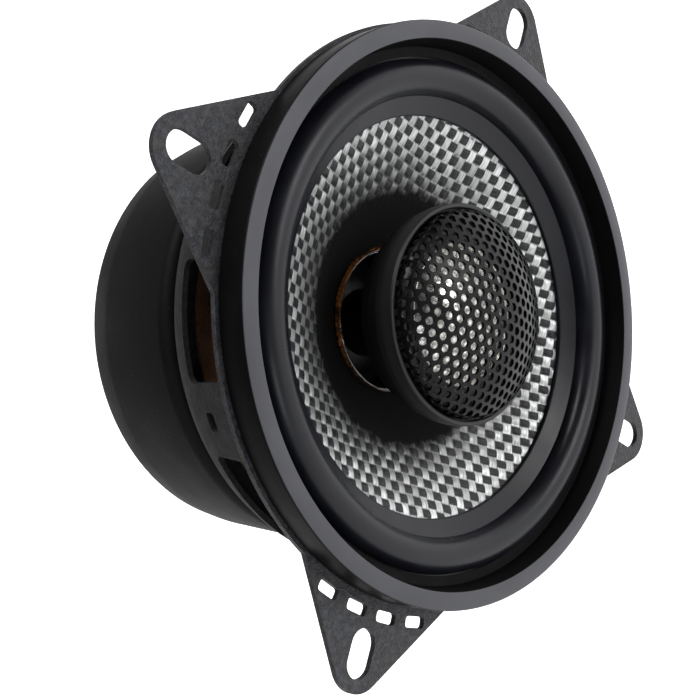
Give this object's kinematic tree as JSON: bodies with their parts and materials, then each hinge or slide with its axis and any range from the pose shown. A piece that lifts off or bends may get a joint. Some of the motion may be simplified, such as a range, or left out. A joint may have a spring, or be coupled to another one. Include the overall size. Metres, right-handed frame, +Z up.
{
  "type": "coaxial car speaker",
  "caption": "Round coaxial car loudspeaker: woven cone in a rubber surround, domed tweeter under a perforated grille on a centre post, stamped basket with slotted ears.",
  "frame": {"origin": "centre of the round flange, in the plane of its rear face that rests on the panel", "axes": "-Y is the front (the way the sound goes), +Y runs back into the panel's hole, +Z is up, X to the right seen from the front; the four ears lie on +X, +Z, -X and -Z"},
  "size_m": [0.1336, 0.0668, 0.1336],
  "materials": {
    "basket_paint": "crinkle paint, satin",
    "trim_plastic": "satin face, gloss sides",
    "surround_rubber": "satin",
    "woven_cone": "coated glass-fibre weave",
    "amber_glue": "cured glue bead",
    "former_aluminium": "bright",
    "copper_winding": "enamelled copper",
    "spider_cloth": "resin-dipped cloth",
    "plated_steel": "zinc plated",
    "ferrite": "ferrite, ground faces",
    "boot_rubber": "matte",
    "rivet_aluminium": "satin",
    "plated_brass": "turned",
    "black_plastic": "matte",
    "phenolic_board": "laminated board",
    "terminal_brass": "stamped",
    "terminal_tin": "tin plated",
    "capacitor_sleeve": "shrunk sleeve",
    "red_insulation": "wire insulation",
    "tinsel_braid": "braided copper tinsel",
    "black_insulation": "wire insulation",
    "nickel_magnet": "nickel plated",
    "suspension_film": "coated cloth",
    "dome_metal": "bright anodised",
    "grille_paint": "semi-gloss black"
  },
  "bodies": {
    "frame": {"basket": "basket_paint", "trim_ring": "trim_plastic", "surround": "surround_rubber", "spider": "spider_cloth", "top_plate": "plated_steel", "magnet": "ferrite", "yoke": "plated_steel", "magnet_boot": "boot_rubber", "basket_rivets": "rivet_aluminium", "post_tube": "plated_brass", "post_spacer": "black_plastic", "post_nut": "plated_brass", "post_washer": "plated_steel", "terminal_board": "phenolic_board", "terminal_positive": "terminal_brass", "terminal_negative": "terminal_tin", "terminal_rivets": "rivet_aluminium", "capacitor": "capacitor_sleeve", "capacitor_jumper": "red_insulation", "tinsel_lead_positive": "tinsel_braid", "tinsel_lead_negative": "tinsel_braid", "tweeter_lead_positive": "red_insulation", "tweeter_lead_negative": "black_insulation", "tweeter_housing": "black_plastic", "tweeter_cup": "plated_steel", "tweeter_magnet": "nickel_magnet", "tweeter_pole_plate": "plated_steel", "tweeter_mount_ring": "black_plastic", "tweeter_suspension": "suspension_film", "tweeter_grille": "grille_paint"},
    "woofer": {"cone": "woven_cone", "neck_glue_ring": "amber_glue", "voice_coil_former": "former_aluminium", "voice_coil_winding": "copper_winding"},
    "tweeter_diaphragm": {"tweeter_dome": "dome_metal", "tweeter_former": "former_aluminium", "tweeter_winding": "copper_winding"}
  },
  "joints": [
    {"name": "cone_travel", "type": "slide", "parent": "frame", "child": "woofer", "axis": [0, -1, 0], "range_m": [-0.0035, 0.0035], "stiffness_N_per_m": 2000, "deforming": ["surround", "spider", "tinsel_lead_positive", "tinsel_lead_negative"]},
    {"name": "dome_travel", "type": "slide", "parent": "frame", "child": "tweeter_diaphragm", "axis": [0, -1, 0], "range_m": [-0.0003, 0.0003], "stiffness_N_per_m": 5000, "deforming": ["tweeter_suspension"]}
  ]
}
